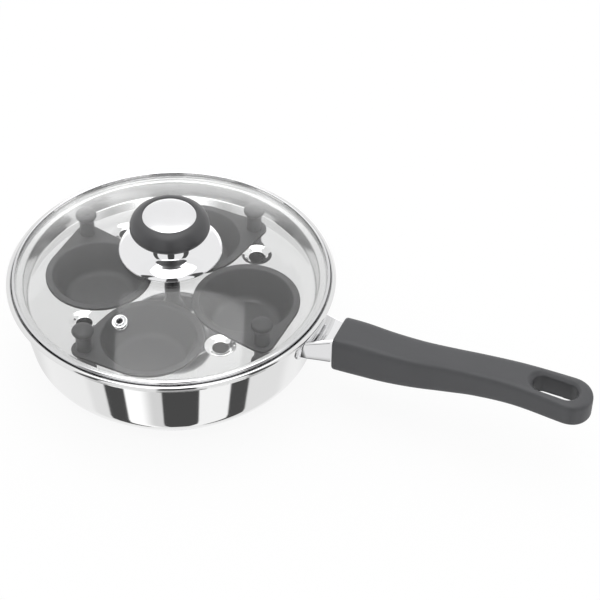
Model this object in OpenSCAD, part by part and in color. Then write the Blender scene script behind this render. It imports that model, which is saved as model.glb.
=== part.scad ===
// Four-cup egg poacher pan with a glass lid, in millimetres.
// The origin is on the pan's axis at the surface it stands on. +X runs along the handle, +Z is up.

/* [Pan] */
// Outermost radius of the rolled rim
rim_r = 105.5; // [105:0.5:108]
// Height of the rolled rim's top
rim_top = 61; // [60:0.5:62]
// Radius of the rolled bead
bead_r = 1.6; // [1.4:0.1:1.8]
// Thickness of the pan's steel
pan_wall = 0.8; // [0.6:0.1:1]
// Lean of the wall from upright, in degrees
wall_lean = 10.3; // [9:0.1:11]
// Outer radius of the corner between the wall and the bottom
corner_r = 17; // [14:0.5:18]
// Thickness of the base disc and its cap under the shell
base_height = 2.8; // [2.4:0.1:4]
// Outer radius of the base cap
base_r = 82.2; // [80:0.1:83]
// Thickness of the base cap
cap_wall = 0.5; // [0.4:0.1:0.6]

/* [Egg rack] */
// Height of the plate's upper face
plate_top = 47.5; // [46:0.5:48]
// Thickness of the rack's steel
rack_wall = 0.7; // [0.5:0.1:0.8]
// Radius of the flat plate where it turns up
plate_r = 94.8; // [93:0.1:95]
// Radius of the turned-up wall at its top
rack_throat_r = 97; // [96.5:0.1:97.5]
// Distance from the pan's axis to a vent hole
vent_hole_reach = 62.9; // [62:0.1:64]
// Radius of a vent hole
vent_hole_r = 5.2; // [4:0.1:6]
// Depth of the funnel round a vent hole
funnel_depth = 1.8; // [1:0.1:2.5]

/* [Egg cups] */
// Distance from the pan's axis to a cup's centre
cup_reach = 49.3; // [49.3:0.1:50]
// Direction of the first cup from the handle, in degrees
cup_angle = 8.5; // [5:0.5:12]
// Inner radius of a cup's mouth
cup_mouth_r = 29.8; // [28:0.1:30]
// Inner radius of a cup's flat bottom
cup_floor_r = 18.4; // [16:0.1:19]
// Depth of a cup
cup_depth = 19.7; // [16:0.1:21]
// Thickness of a cup
cup_wall = 1.2; // [1:0.1:1.4]
// Radius of a cup's round flange
flange_r = 34.4; // [33.5:0.1:34.5]
// Distance from the pan's axis to a cup's knob
post_reach = 77.9; // [77:0.1:78]
// Turn from a cup's centre to its knob, in degrees
post_turn = -27.2; // [-28:0.1:-26.5]
// Radius of the knob's head
post_head_r = 6.9; // [6.5:0.1:7.5]
// Height of the knob over the flange
post_height = 17.4; // [14:0.1:17.5]

/* [Lid] */
// Radius of the glass
glass_r = 100.6; // [100:0.1:101]
// Thickness of the glass
glass_wall = 3.5; // [3:0.1:4]
// Outer curvature radius of the dome
dome_r = 240; // [230:1:250]
// Height of the dome's top
dome_top = 84.2; // [83.5:0.1:85]
// Thickness of the rim band's steel
band_wall = 0.5; // [0.4:0.1:0.5]
// Distance from the axis to the steam vent
steam_vent_reach = 67.5; // [60:0.5:70]
// Direction of the steam vent from the handle, in degrees
steam_vent_angle = -92; // [-180:1:180]
// Radius of the steam vent's bore
steam_vent_bore_r = 1.75; // [1:0.05:2]

/* [Lid knob] */
// Radius of the bell's foot
bell_foot_r = 32.9; // [30:0.1:34]
// Radius of the grip
knob_r = 25.3; // [23:0.1:27]
// Height of the grip's top
knob_top = 109; // [107:0.5:111]
// Radius of the steel disc in the grip
disc_r = 17; // [14:0.1:18]

/* [Handle] */
// Height of the bracket's centre line
bracket_z = 43.2; // [43:0.1:44]
// Width of the flame guard at the grip
guard_w = 20; // [19:0.1:21]
// Height of the flame guard at the grip
guard_h = 19.6; // [18:0.1:20]
// Distance from the pan's axis to the grip's front
grip_front = 116; // [114:1:118]
// Distance from the pan's axis to the grip's round end
grip_end = 280.4; // [278:0.2:290]
// Distance from the pan's axis to the handle bolt
bolt_x = 136; // [132:1:140]
// Radius of the handle bolt
bolt_r = 2.5; // [2:0.1:2.6]

/* [Hidden] */

$fn = 120;
cut = 1;                                     // how far a cutting tool runs past a face

steel = [0.80, 0.81, 0.82];
aluminium = [0.70, 0.71, 0.73];
non_stick = [0.20, 0.20, 0.21];
phenolic = [0.17, 0.17, 0.18];
glass_tint = [0.82, 0.88, 0.88, 0.35];
brass = [0.78, 0.62, 0.30];
silicone = [0.75, 0.75, 0.74];

// Points along an arc round [x, y], from angle a to angle b
function arc(x, y, r, a, b, steps = 10) =
    [for (i = [0 : steps]) let (t = a + (b - a) * i / steps) [x + r * cos(t), y + r * sin(t)]];
function backwards(points) = [for (i = [len(points) - 1 : -1 : 0]) points[i]];
// A smooth value at s, through rows of [s, value, value, ...] that are sorted by s
function slope(rows, i, k) =
    let (a = max(i - 1, 0), b = min(i + 1, len(rows) - 1))
    (rows[b][k] - rows[a][k]) / (rows[b][0] - rows[a][0]);
function row_of(rows, s, i = 0) =
    i >= len(rows) - 2 || s < rows[i + 1][0] ? i : row_of(rows, s, i + 1);
function smooth(rows, s, k) =
    let (i = row_of(rows, s), step = rows[i + 1][0] - rows[i][0], t = (s - rows[i][0]) / step)
    rows[i][k] * (2 * pow(t, 3) - 3 * pow(t, 2) + 1)
    + slope(rows, i, k) * step * (pow(t, 3) - 2 * pow(t, 2) + t)
    + rows[i + 1][k] * (3 * pow(t, 2) - 2 * pow(t, 3))
    + slope(rows, i + 1, k) * step * (pow(t, 3) - pow(t, 2));

// Pan: the wall leans out from the corner to the ledge that the rack and the lid sit on
corner_z = base_height + corner_r;           // height of the corner's centre
corner_x = 76.5;                             // radius of the corner's centre
bead_z = rim_top - bead_r;
bead_x = rim_r - bead_r;
seat_r = bead_x - bead_r;                    // inner radius of the upstand round the ledge
ledge_top = rim_top - 4.1;
ledge_under = ledge_top - pan_wall;
function wall_at(z, gap = 0) =
    corner_x + (corner_r + gap) / cos(wall_lean) + (z - corner_z) * tan(wall_lean);

// Base
core_r = base_r - cap_wall;
cap_edge_top = base_height + 0.7;
cap_corner_r = 1.5;

// Egg rack
flange_top = ledge_top + rack_wall;
rack_flange_r = seat_r - 0.4;
rack_corner_r = 2;                           // inner radius of the corner between plate and wall
rack_lip_r = 1.2;                            // outer radius of the bend at the rack's throat
cup_hole_r = cup_mouth_r + cup_wall + 0.4;
cup_count = 4;
quarter = 360 / cup_count;
vent_hole_angle = 54;                        // direction of the first vent hole
funnel_r = vent_hole_r + 4;
dimple_edge = 0.4;                           // how far a funnel's edge reaches under the plate

// Egg cups
cup_top = plate_top + cup_wall;
cup_fillet_r = 5;                            // inner radius of the corner at a cup's bottom
post_foot_r = 8;                             // radius of the flange's small end
// A cup's knob stands beside it, not in line with it
post_x = post_reach * cos(post_turn) - cup_reach;
post_y = post_reach * sin(post_turn);
post_gap = norm([post_x, post_y]);           // distance from a cup's centre to its knob
post_side = atan2(post_y, post_x);
tangent = acos((flange_r - post_foot_r) / post_gap);
screw_r = 1.5;
screw_head_r = 2.9;
screw_length = 9;

// Lid
dome_z = dome_top - dome_r;                  // height of the dome's centre
inner_dome_r = dome_r - glass_wall;
function dome_at(r, sphere_r = dome_r) = dome_z + sqrt(sphere_r * sphere_r - r * r);
band_r = seat_r - 0.5;
band_lip_r = glass_r - 1.6;                  // inner radius of the lip over the glass
band_foot_r = glass_r - 2;                   // inner radius of the lip under the glass
steam_vent_tilt = asin(steam_vent_reach / dome_r);
vent_tube_r = 3;
vent_flange_r = 5;

// Lid knob
bell_wall = 0.6;
bell_foot_z = dome_at(bell_foot_r) + 0.05;
bell_roll_r = 8.2;                           // radius of the bell's rounded shoulder
bell_roll_z = bell_foot_z - 3.15;            // height of that rounding's centre
bell_bend_r = 6.5;                           // radius of the hollow bend up to the neck
bell_neck_r = 16.2;
knob_foot_r = 12;
neck_top = 93.2;
knob_belly_z = 100;                          // height where the grip is widest
knob_edge_r = disc_r + 1.2;
disc_seat = 1;                               // depth of the recess that the disc sits in
lid_screw_r = 2.5;
bush_r = 4;
bush_top = neck_top + 10;
gasket_r = 8;
gasket_height = 1;
washer_height = 1.2;

// Handle
tang_w = 16;
tang_h = 10;
tang_wall = 1.5;
tang_end = bolt_x + 14;
saddle_wall = 1.2;
saddle_w = 42;
saddle_h = 15;
saddle_corner_r = 6;
guard_wall = 0.8;
guard_edge_r = 2;
// Distance from the pan's axis, width, height of the top, height of the bottom of the flame guard
guard_stations = [
    [92, 31, 49.2, 37.8], [97, 28, 49.9, 37.2], [102, 24.8, 50.8, 36.2], [108, 21.6, 52.1, 34.8],
    [grip_front, guard_w, bracket_z + guard_h / 2, bracket_z - guard_h / 2]];
socket_depth = 7;                            // how far the flame guard goes into the grip
fit_gap = 0.2;
washer_r = 5;
bolt_head_r = 4.4;
bolt_head_height = 2;
counterbore_top = 35.4;                      // height where the bolt's washer bears on the grip
bolt_end_z = bracket_z + 2;
end_r = 14;                                  // radius of the grip's round end, seen from above
end_x = grip_end - end_r;
// Distance from the pan's axis, width, height of the top, height of the bottom
grip_stations = [
    [grip_front, 27.0, 56.4, 30.0],
    [130, 26.2, 57.0, 30.3],
    [150, 24.8, 56.3, 31.0],
    [170, 23.6, 56.8, 33.6],
    [190, 22.2, 59.1, 37.6],
    [210, 22.6, 61.1, 42.1],
    [235, 24.0, 62.4, 44.8],
    [end_x, 2 * end_r, 60.6, 44.0],
    [grip_end, 2 * end_r, 59.3, 43.2]];
slot_r = 6.8;                                // half width of the hanging slot
slot_start = grip_end - 31.1;
slot_end = grip_end - 16.2;
dish_r = 9.4;                                // half width of the dished mouths
dish_depth = 2.2;

// Pan body: flat bottom, corner, leaning wall, ledge and upstand, with the rolled bead on top
module pan_body() color(steel) rotate_extrude($fn = 180) union() {
    polygon(concat(
        [[0, base_height]],
        arc(corner_x, corner_z, corner_r, -90, -wall_lean),
        [[wall_at(ledge_under - 1), ledge_under - 1], [wall_at(ledge_under) + 0.6, ledge_under],
         [bead_x, ledge_under], [bead_x, bead_z], [seat_r, bead_z], [seat_r, ledge_top],
         [wall_at(ledge_top, -pan_wall), ledge_top]],
        arc(corner_x, corner_z, corner_r - pan_wall, -wall_lean, -90),
        [[0, base_height + pan_wall]]));
    translate([bead_x, bead_z]) circle(r = bead_r, $fn = 48);
}

// Aluminium disc that spreads the heat, closed in by the cap
module base_core() color(aluminium)
    translate([0, 0, cap_wall]) cylinder(r = core_r - cap_corner_r / 2, h = base_height - cap_wall);

// Steel cap round the disc, with a rounded edge that turns up to the shell
module base_cap() color(steel) rotate_extrude($fn = 180) polygon(concat(
    [[0, 0]],
    arc(base_r - cap_corner_r, cap_corner_r, cap_corner_r, -90, 0, 6),
    [[base_r, cap_edge_top], [base_r - cap_wall, cap_edge_top]],
    arc(base_r - cap_corner_r, cap_corner_r, cap_corner_r - cap_wall, 0, -90, 6),
    [[0, cap_wall]]));

// A rounded rectangle made of squares and circles, so that its corners stay true arcs
module rounded_section(w, h, r) {
    square([w - 2 * r, h], center = true);
    square([w, h - 2 * r], center = true);
    for (x = [-1, 1], y = [-1, 1])
        translate([x * (w / 2 - r), y * (h / 2 - r)]) circle(r = r, $fn = 32);
}
// A bar of that section along +X, from x0 to x1
module rounded_bar(w, h, r, x0, x1)
    translate([x0, 0, bracket_z]) rotate([90, 0, 90]) linear_extrude(x1 - x0) rounded_section(w, h, r);
// The space inside the leaning wall, grown by gap, between two heights
module wall_cone(gap, z0, z1)
    translate([0, 0, z0]) cylinder(r1 = wall_at(z0, gap), r2 = wall_at(z1, gap), h = z1 - z0, $fn = 180);

// Bracket: a saddle welded to the wall, and a tang with the bolt's threaded hole
module handle_bracket() color(steel) {
    low = bracket_z - guard_h;
    high = bracket_z + guard_h;
    intersection() {
        difference() {
            wall_cone(saddle_wall, low, high);
            wall_cone(0, low - cut, high + cut);
        }
        rounded_bar(saddle_w, saddle_h, saddle_corner_r, 60, 120);
    }
    difference() {
        rounded_bar(tang_w, tang_h, 2, 90, tang_end);
        rounded_bar(tang_w - 2 * tang_wall, tang_h - 2 * tang_wall, 0.6, 80, bolt_x - 7);
        rounded_bar(tang_w - 2 * tang_wall, tang_h - 2 * tang_wall, 0.6, bolt_x + 7, tang_end + cut);
        wall_cone(saddle_wall / 2, low, high);
        translate([bolt_x, 0, bracket_z - tang_h]) cylinder(r = bolt_r + 0.05, h = 2 * tang_h);
    }
}

// Flame guard: polished sleeve over the bracket, flared towards the pan
module flame_guard() color(steel) difference() {
    union() {
        guard_flare(0);
        rounded_bar(guard_w, guard_h, guard_edge_r, grip_front, grip_front + socket_depth - fit_gap);
    }
    guard_flare(guard_wall);
    rounded_bar(guard_w - 2 * guard_wall, guard_h - 2 * guard_wall, guard_edge_r - guard_wall,
                grip_front - cut / 2, 140);
    wall_cone(saddle_wall + fit_gap, bracket_z - 20, bracket_z + 20);
}
module guard_flare(inset)
    for (i = [0 : len(guard_stations) - 2]) hull() for (row = [guard_stations[i], guard_stations[i + 1]])
        translate([row[0], 0, (row[2] + row[3]) / 2]) rotate([90, 0, 90]) linear_extrude(0.02)
            rounded_section(row[1] - 2 * inset, row[2] - row[3] - 2 * inset, guard_edge_r - inset);

// One ring of the grip at s: a rectangle with soft corners, drawn in by pinch near the ends
ring_points = 28;
corner_power = 0.34;
function signed_power(v) = sign(v) * pow(abs(v), corner_power);
function grip_ring(s, narrow = 1, pinch = 1) =
    let (w = smooth(grip_stations, s, 1) * narrow, top = smooth(grip_stations, s, 2),
         low = smooth(grip_stations, s, 3), mid = (top + low) / 2, h = (top - low) * pinch)
    [for (i = [0 : ring_points - 1]) let (t = 360 * i / ring_points)
        [s, w / 2 * signed_power(cos(t)), mid + h / 2 * signed_power(sin(t))]];
grip_step = 6;
grip_rings = concat(
    [grip_ring(grip_front, 0.93, 0.94), grip_ring(grip_front + 0.6, 0.98, 0.985)],
    [for (s = [grip_front + 2.4 : grip_step : end_x - 1]) grip_ring(s)],
    [for (t = [0, 15, 30, 44, 57, 69, 79, 86])
        grip_ring(end_x + end_r * sin(t), cos(t), 1 - 0.22 * pow(sin(t), 6))]);

// Solid through rings of equal size, closed flat at both ends
module loft(rings) {
    n = len(rings[0]);
    last = len(rings) - 1;
    points = [for (ring = rings) for (p = ring) p];
    sides = [for (i = [0 : last - 1], j = [0 : n - 1]) let (k = (j + 1) % n)
        each [[i * n + j, (i + 1) * n + k, i * n + k], [i * n + j, (i + 1) * n + j, (i + 1) * n + k]]];
    start = [for (j = [0 : n - 1]) j];
    end = [for (j = [n - 1 : -1 : 0]) last * n + j];
    polyhedron(points, concat(sides, [start, end]), convexity = 6);
}

// Grip: a moulded bar that bows down in the middle, with a hanging slot in its wide round end
module handle_grip() color(phenolic) difference() {
    loft(grip_rings);
    rounded_bar(guard_w + fit_gap, guard_h + fit_gap, guard_edge_r, 100, grip_front + socket_depth);
    rounded_bar(tang_w + fit_gap, tang_h + fit_gap, 2, 100, tang_end + cut);
    translate([bolt_x, 0, 0]) {
        cylinder(r = bolt_r + 0.3, h = bracket_z);
        cylinder(r = washer_r + fit_gap, h = counterbore_top);
    }
    for (x = [slot_start, slot_end]) translate([x, 0, 30]) cylinder(r = slot_r, h = 40);
    translate([slot_start, -slot_r, 30]) cube([slot_end - slot_start, 2 * slot_r, 40]);
    hanging_dish(2, 1);
    hanging_dish(3, -1);
}
// The slot's mouth on the top (side 1) or on the underside (side -1)
module hanging_dish(column, side)
    hull() for (x = [slot_start, slot_end], out = [0, 1])
        translate([x, 0, smooth(grip_stations, x, column) + side * dish_depth * (out * 2 - 1) - 0.05])
            cylinder(r = slot_r + out * 2 * (dish_r - slot_r), h = 0.1, $fn = 48);

// Handle bolt, from below into the tang
module handle_bolt() color(steel) translate([bolt_x, 0, 0]) {
    under = counterbore_top - 1;
    difference() {
        translate([0, 0, under - bolt_head_height]) cylinder(r = bolt_head_r, h = bolt_head_height);
        translate([-bolt_head_r - cut, -0.6, under - bolt_head_height - cut])
            cube([2 * bolt_head_r + 2 * cut, 1.2, cut + 0.9]);
    }
    translate([0, 0, under]) cylinder(r = bolt_r, h = bolt_end_z - under);
}
module bolt_washer() color(steel) translate([bolt_x, 0, counterbore_top - 1]) difference() {
    cylinder(r = washer_r, h = 1);
    translate([0, 0, -cut]) cylinder(r = bolt_r + 0.2, h = 1 + 2 * cut);
}

// Egg rack: a dished plate with four cup holes and four funnel-shaped vent holes
module egg_rack() color(steel) {
    difference() {
        rotate_extrude($fn = 180) rack_profile();
        for (k = [0 : cup_count - 1]) rotate(cup_angle + quarter * k)
            translate([cup_reach, 0, plate_top - 2]) cylinder(r = cup_hole_r, h = 4);
        for (k = [0 : cup_count - 1]) rotate(vent_hole_angle + quarter * k)
            translate([vent_hole_reach, 0, plate_top - 2]) cylinder(r = funnel_r, h = 4);
        translate([0, 0, plate_top - 2]) cylinder(r = screw_r + 0.1, h = 4, $fn = 48);
    }
    for (k = [0 : cup_count - 1]) rotate(vent_hole_angle + quarter * k)
        translate([vent_hole_reach, 0, plate_top]) rotate_extrude($fn = 64) polygon([
            [funnel_r + dimple_edge, 0], [funnel_r - 0.6, -0.3],
            [vent_hole_r, -funnel_depth], [vent_hole_r, -funnel_depth - rack_wall],
            [funnel_r - 0.4, -0.4 - rack_wall], [funnel_r + dimple_edge, -rack_wall]]);
}
module rack_profile() {
    lean = atan2(rack_throat_r - plate_r, flange_top - plate_top);
    corner = rack_corner_r;
    polygon(concat(
        [[0, plate_top - rack_wall]],
        arc(plate_r - corner, plate_top + corner, corner + rack_wall, -90, -lean, 6),
        arc(rack_throat_r + rack_lip_r, ledge_top - rack_lip_r + rack_wall,
            rack_lip_r - rack_wall, 180 - lean, 90, 4),
        [[rack_flange_r, ledge_top], [rack_flange_r, flange_top]],
        arc(rack_throat_r + rack_lip_r, ledge_top - rack_lip_r + rack_wall,
            rack_lip_r, 90, 180 - lean, 4),
        arc(plate_r - corner, plate_top + corner, corner, -lean, -90, 6),
        [[0, plate_top]]));
}

// Egg cup, drawn with its centre on the axis and its knob towards post_side
module egg_cup(k) color(non_stick) rotate(cup_angle + quarter * k) translate([cup_reach, 0, 0])
    difference() {
        union() {
            translate([0, 0, plate_top]) linear_extrude(cup_wall) cup_flange();
            rotate_extrude($fn = 128) polygon(cup_outline(cup_wall, -cup_wall));
        }
        rotate_extrude($fn = 128) polygon(cup_outline(0, 0.01));
        translate([post_x, post_y, plate_top - cut]) cylinder(r = screw_r + 0.1, h = cup_wall + 2 * cut);
        translate([post_x, post_y, plate_top - 0.01])
            cylinder(r1 = screw_head_r + 0.05, r2 = screw_r + 0.1, h = cup_wall);
    }
// A teardrop: a large and a small circle joined by their common tangents
module cup_flange() {
    circle(r = flange_r, $fn = 128);
    translate([post_x, post_y]) circle(r = post_foot_r, $fn = 64);
    polygon([for (side = [[0, -1], [1, -1], [1, 1], [0, 1]]) let (t = post_side + side[1] * tangent)
        side[0] * [post_x, post_y]
        + (side[0] == 0 ? flange_r : post_foot_r) * [cos(t), sin(t)]]);
}
// Half section of a bowl that is grown by skin all round and reaches lift over the flange
function cup_outline(skin, lift) =
    let (floor_z = cup_top - cup_depth,
         lean = atan2(cup_mouth_r - cup_floor_r - cup_fillet_r, cup_depth - cup_fillet_r),
         bend = [cup_floor_r, floor_z + cup_fillet_r])
    concat([[0, floor_z - skin]],
           arc(bend[0], bend[1], cup_fillet_r + skin, -90, -lean, 6),
           [[cup_mouth_r - 1 + skin, cup_top - 2.2],
            [cup_mouth_r + skin * 0.9, cup_top + lift], [0, cup_top + lift]]);

// Mushroom knob with a blind hole for its screw, standing on z = 0
head_edge_r = 2.2;
head_crown_r = 13.7;
module mushroom() difference() {
    rotate_extrude($fn = 64) polygon(concat(
        [[0, 0], [6, 0], [5.4, 1.2], [5, 3.4], [4.8, 7.6], [5.1, 10]],
        arc(post_head_r - head_edge_r, post_height - 3.2, head_edge_r, -50, 66, 7),
        arc(0, post_height - head_crown_r, head_crown_r, 66, 90, 5)));
    translate([0, 0, -0.01]) cylinder(r = screw_r + 0.05, h = screw_length);
}
// One on the small end of each cup's flange, and one in the middle of the rack to lift it by
module at_post(k) rotate(cup_angle + quarter * k) translate([cup_reach + post_x, post_y, cup_top])
    children();
module cup_knob(k) color(phenolic) at_post(k) mushroom();
module rack_knob() color(phenolic) translate([0, 0, plate_top]) mushroom();
module cup_screw(k) color(steel) at_post(k) {
    translate([0, 0, -cup_wall + 0.05]) cylinder(r1 = screw_head_r, r2 = screw_r, h = cup_wall - 0.15);
    translate([0, 0, -0.5]) cylinder(r = screw_r, h = screw_length - 0.5);
}
// Round head under the plate, with a driver slot
module rack_screw() color(steel) translate([0, 0, plate_top - rack_wall]) {
    difference() {
        translate([0, 0, -1.6]) cylinder(r = screw_head_r, h = 1.6, $fn = 48);
        translate([-screw_head_r - cut, -0.4, -1.6 - cut]) cube([2 * screw_head_r + 2 * cut, 0.8, cut + 0.7]);
    }
    cylinder(r = screw_r, h = screw_length - 0.5, $fn = 48);
}

// Lid glass: a spherical dome with a hole for the knob and one for the steam vent
module lid_glass() color(glass_tint) difference() {
    intersection() {
        translate([0, 0, dome_z]) sphere(r = dome_r, $fn = 240);
        translate([0, 0, 50]) cylinder(r = glass_r, h = 60, $fn = 180);
    }
    translate([0, 0, dome_z]) sphere(r = inner_dome_r, $fn = 240);
    translate([0, 0, dome_top - 10]) cylinder(r = lid_screw_r + 1, h = 20);
    at_steam_vent() translate([0, 0, -10]) cylinder(r = vent_tube_r + 0.1, h = 20, $fn = 48);
}

// Rim band: a channel of folded steel round the edge of the glass
module lid_band() color(steel) rotate_extrude($fn = 180) polygon([
    [band_foot_r, flange_top], [band_r - 0.4, flange_top], [band_r, flange_top + 0.4],
    [band_r, dome_at(glass_r) + 0.4], [band_r - 0.5, dome_at(glass_r) + 0.9],
    [band_lip_r + 0.4, dome_at(band_lip_r) + band_wall + 0.15], [band_lip_r, dome_at(band_lip_r) + 0.3],
    [band_lip_r + 0.2, dome_at(band_lip_r + 0.2) + 0.05], [glass_r + 0.1, dome_at(glass_r) + 0.05],
    [glass_r + 0.1, flange_top + band_wall], [band_foot_r, flange_top + band_wall]]);

// Steam vent: an eyelet, square to the dome
module at_steam_vent() rotate(steam_vent_angle) translate([0, 0, dome_z])
    rotate([0, steam_vent_tilt, 0]) translate([0, 0, dome_r]) children();
module steam_vent() color(steel) at_steam_vent() rotate_extrude($fn = 64) {
    low = -glass_wall;
    polygon(concat(
        [[steam_vent_bore_r, low - 0.8], [vent_flange_r - 0.8, low - 0.8], [vent_flange_r - 0.5, low - 0.1],
         [vent_tube_r, low - 0.1], [vent_tube_r, 0.1]],
        arc(vent_flange_r - 0.6, 0.7, 0.6, -90, 90, 6),
        [[steam_vent_bore_r + 1, 1.3], [steam_vent_bore_r, 0.7]]));
}

// Bell: a steel foot between the glass and the grip, rounded at the shoulder and hollow at the neck
function bell_curve(skin) = concat(
    arc(bell_foot_r - bell_roll_r * cos(25), bell_roll_z, bell_roll_r - skin, 25, 62, 8),
    [[25.3 - skin * 0.3, 87.8 - skin]],
    arc(22.6, 95, bell_bend_r + skin, -100, -155, 8));
module knob_bell() color(steel) rotate_extrude($fn = 180) polygon(concat(
    [[bell_foot_r, bell_foot_z]],
    bell_curve(0),
    [[bell_neck_r, neck_top], [lid_screw_r + 0.2, neck_top], [lid_screw_r + 0.2, neck_top - bell_wall]],
    backwards(bell_curve(bell_wall)),
    [[bell_foot_r - bell_wall, bell_foot_z]]));

// Grip of the lid knob: a round belly on a narrow foot, with a seat for the steel disc
module knob_grip() color(phenolic) rotate_extrude($fn = 128) polygon(concat(
    [[bush_r + 0.05, neck_top], [knob_foot_r, neck_top]],
    [for (i = [1 : 9]) let (t = -90 + 10 * i)
        [knob_foot_r + (knob_r - knob_foot_r) * cos(t), knob_belly_z + (knob_belly_z - neck_top) * sin(t)]],
    [for (i = [1 : 9]) let (t = 10 * i)
        [knob_edge_r + (knob_r - knob_edge_r) * cos(t), knob_belly_z + (knob_top - knob_belly_z) * sin(t)]],
    [[disc_r + 0.1, knob_top - 0.1], [disc_r + 0.1, knob_top - disc_seat], [0, knob_top - disc_seat],
     [0, bush_top + 0.1], [bush_r + 0.05, bush_top + 0.1]]));

// Steel disc in the top of the grip, slightly domed
module knob_insert() color(steel) rotate_extrude($fn = 128) polygon(concat(
    [[0, knob_top - disc_seat], [disc_r, knob_top - disc_seat], [disc_r, knob_top + 0.1]],
    [for (i = [1 : 8]) let (r = disc_r * (1 - i / 8)) [r, knob_top + 0.3 + 0.9 * (1 - pow(r / disc_r, 2))]]));

// Threaded bush moulded into the grip
module knob_bush() color(brass) difference() {
    translate([0, 0, neck_top]) cylinder(r = bush_r, h = bush_top - neck_top, $fn = 48);
    translate([0, 0, neck_top - cut]) cylinder(r = lid_screw_r + 0.05, h = bush_top - neck_top, $fn = 48);
}

// Lid screw, washer and gasket under the glass
gasket_low = dome_at(gasket_r, inner_dome_r) - gasket_height;
module lid_screw() color(steel) {
    head_top = gasket_low - washer_height;
    difference() {
        translate([0, 0, head_top - 2]) cylinder(r = 4.5, h = 2, $fn = 48);
        for (turn = [0, 90]) rotate(turn) translate([-2.5, -0.5, head_top - 2 - cut]) cube([5, 1, cut + 1]);
    }
    translate([0, 0, head_top]) cylinder(r = lid_screw_r, h = bush_top - 2 - head_top, $fn = 48);
}
module lid_washer() color(steel) translate([0, 0, gasket_low - washer_height]) difference() {
    cylinder(r = gasket_r + 1, h = washer_height, $fn = 64);
    translate([0, 0, -cut]) cylinder(r = lid_screw_r + 0.2, h = washer_height + 2 * cut, $fn = 48);
}
module lid_gasket() color(silicone) rotate_extrude($fn = 64) polygon([
    [lid_screw_r + 0.1, gasket_low], [gasket_r, gasket_low],
    [gasket_r, dome_at(gasket_r, inner_dome_r)], [lid_screw_r + 0.1, dome_at(lid_screw_r, inner_dome_r)]]);

pan_body();
base_core();
base_cap();
handle_bracket();
flame_guard();
handle_grip();
handle_bolt();
bolt_washer();
egg_rack();
rack_knob();
rack_screw();
egg_cup(0);  // egg_cup_1
egg_cup(1);  // egg_cup_2
egg_cup(2);  // egg_cup_3
egg_cup(3);  // egg_cup_4
cup_knob(0);  // cup_knob_1
cup_knob(1);  // cup_knob_2
cup_knob(2);  // cup_knob_3
cup_knob(3);  // cup_knob_4
cup_screw(0);  // cup_screw_1
cup_screw(1);  // cup_screw_2
cup_screw(2);  // cup_screw_3
cup_screw(3);  // cup_screw_4
lid_glass();
lid_band();
steam_vent();
knob_bell();
knob_grip();
knob_insert();
knob_bush();
lid_screw();
lid_washer();
lid_gasket();
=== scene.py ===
from math import acos, asin, atan2, copysign, cos, degrees, hypot, pi, radians, sin, sqrt, tan

import bpy
from mathutils import Matrix, Vector
from mathutils.geometry import delaunay_2d_cdt


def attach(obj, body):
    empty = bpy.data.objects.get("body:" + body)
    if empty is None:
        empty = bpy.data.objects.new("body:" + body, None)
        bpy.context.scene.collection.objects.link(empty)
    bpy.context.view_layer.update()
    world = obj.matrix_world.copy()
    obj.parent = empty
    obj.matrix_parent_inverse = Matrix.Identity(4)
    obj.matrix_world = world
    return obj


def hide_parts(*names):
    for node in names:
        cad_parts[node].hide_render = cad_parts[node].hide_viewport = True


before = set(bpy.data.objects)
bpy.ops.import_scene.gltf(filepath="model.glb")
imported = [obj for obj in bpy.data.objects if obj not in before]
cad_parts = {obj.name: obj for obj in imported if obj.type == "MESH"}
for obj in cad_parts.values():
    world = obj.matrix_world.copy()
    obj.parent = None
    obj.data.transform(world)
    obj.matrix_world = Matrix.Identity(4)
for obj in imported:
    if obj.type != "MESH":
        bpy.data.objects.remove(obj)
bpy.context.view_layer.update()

# Sizes are millimetres, as in the part's source, and become metres when a mesh is made. Angles are degrees.
MM = 0.001
CREASE = 38

# Pan: rolled bead, seat and ledge of the lid and the rack, leaning wall, round corner, base and its cap
BEAD_R, BEAD_X, BEAD_Z = 1.6, 103.9, 59.4
SEAT_R, LEDGE_TOP, LEDGE_UNDER, LEDGE_BEND = 102.3, 56.9, 56.1, 1.2
WALL_LEAN, CORNER_R, CORNER_X, CORNER_Z = 10.3, 17.0, 76.5, 19.8
BASE_HEIGHT, BASE_R, PAN_WALL = 2.8, 82.2, 0.8
CAP_WALL, CAP_EDGE, CAP_TOP = 0.5, 1.5, 3.0

# Rack: flat plate, turned-up wall, flange on the ledge, and vents in funnels
PLATE_TOP, RACK_WALL, PLATE_R, THROAT_R, FLANGE_TOP = 47.5, 0.7, 92.4, 93.8, 57.6
RACK_BEND, RACK_EDGE_R = 1.2, 101.9
VENT_REACH, VENT_R, VENT_ANGLE, FUNNEL_R, FUNNEL_DEPTH, FUNNEL_LIP = 62.9, 5.2, 54.0, 9.2, 1.8, 1.2

# Cups and the posts on the pointed ends of their flanges
CUP_REACH, CUP_ANGLE, CUP_MOUTH_R, CUP_FLOOR_R = 49.3, 8.5, 29.8, 18.4
CUP_DEPTH, CUP_WALL, CUP_FLANGE_R, CUP_FILLET_R = 19.7, 1.2, 34.4, 5.0
CUP_TOP, CUP_HOLE_R = 48.7, 31.4
POST_REACH, POST_TURN, POST_FOOT_R = 77.9, -27.2, 8.0
POST_HEAD_R, POST_HEIGHT = 6.9, 17.4

# Lid: the glass lies between two spheres round one centre. The eyelet and the screw have a hole each.
GLASS_R, GLASS_WALL, DOME_R, DOME_TOP = 100.6, 3.5, 240.0, 84.2
DOME_Z = DOME_TOP - DOME_R
STEAM_REACH, STEAM_ANGLE, STEAM_BORE_R = 67.5, -92.0, 1.75
SCREW_HOLE_R, EYELET_HOLE_R = 3.5, 3.1
BELL_FOOT_R, BELL_WALL, NECK_TOP, KNOB_FOOT_R = 32.9, 0.6, 93.2, 12.0
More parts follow.
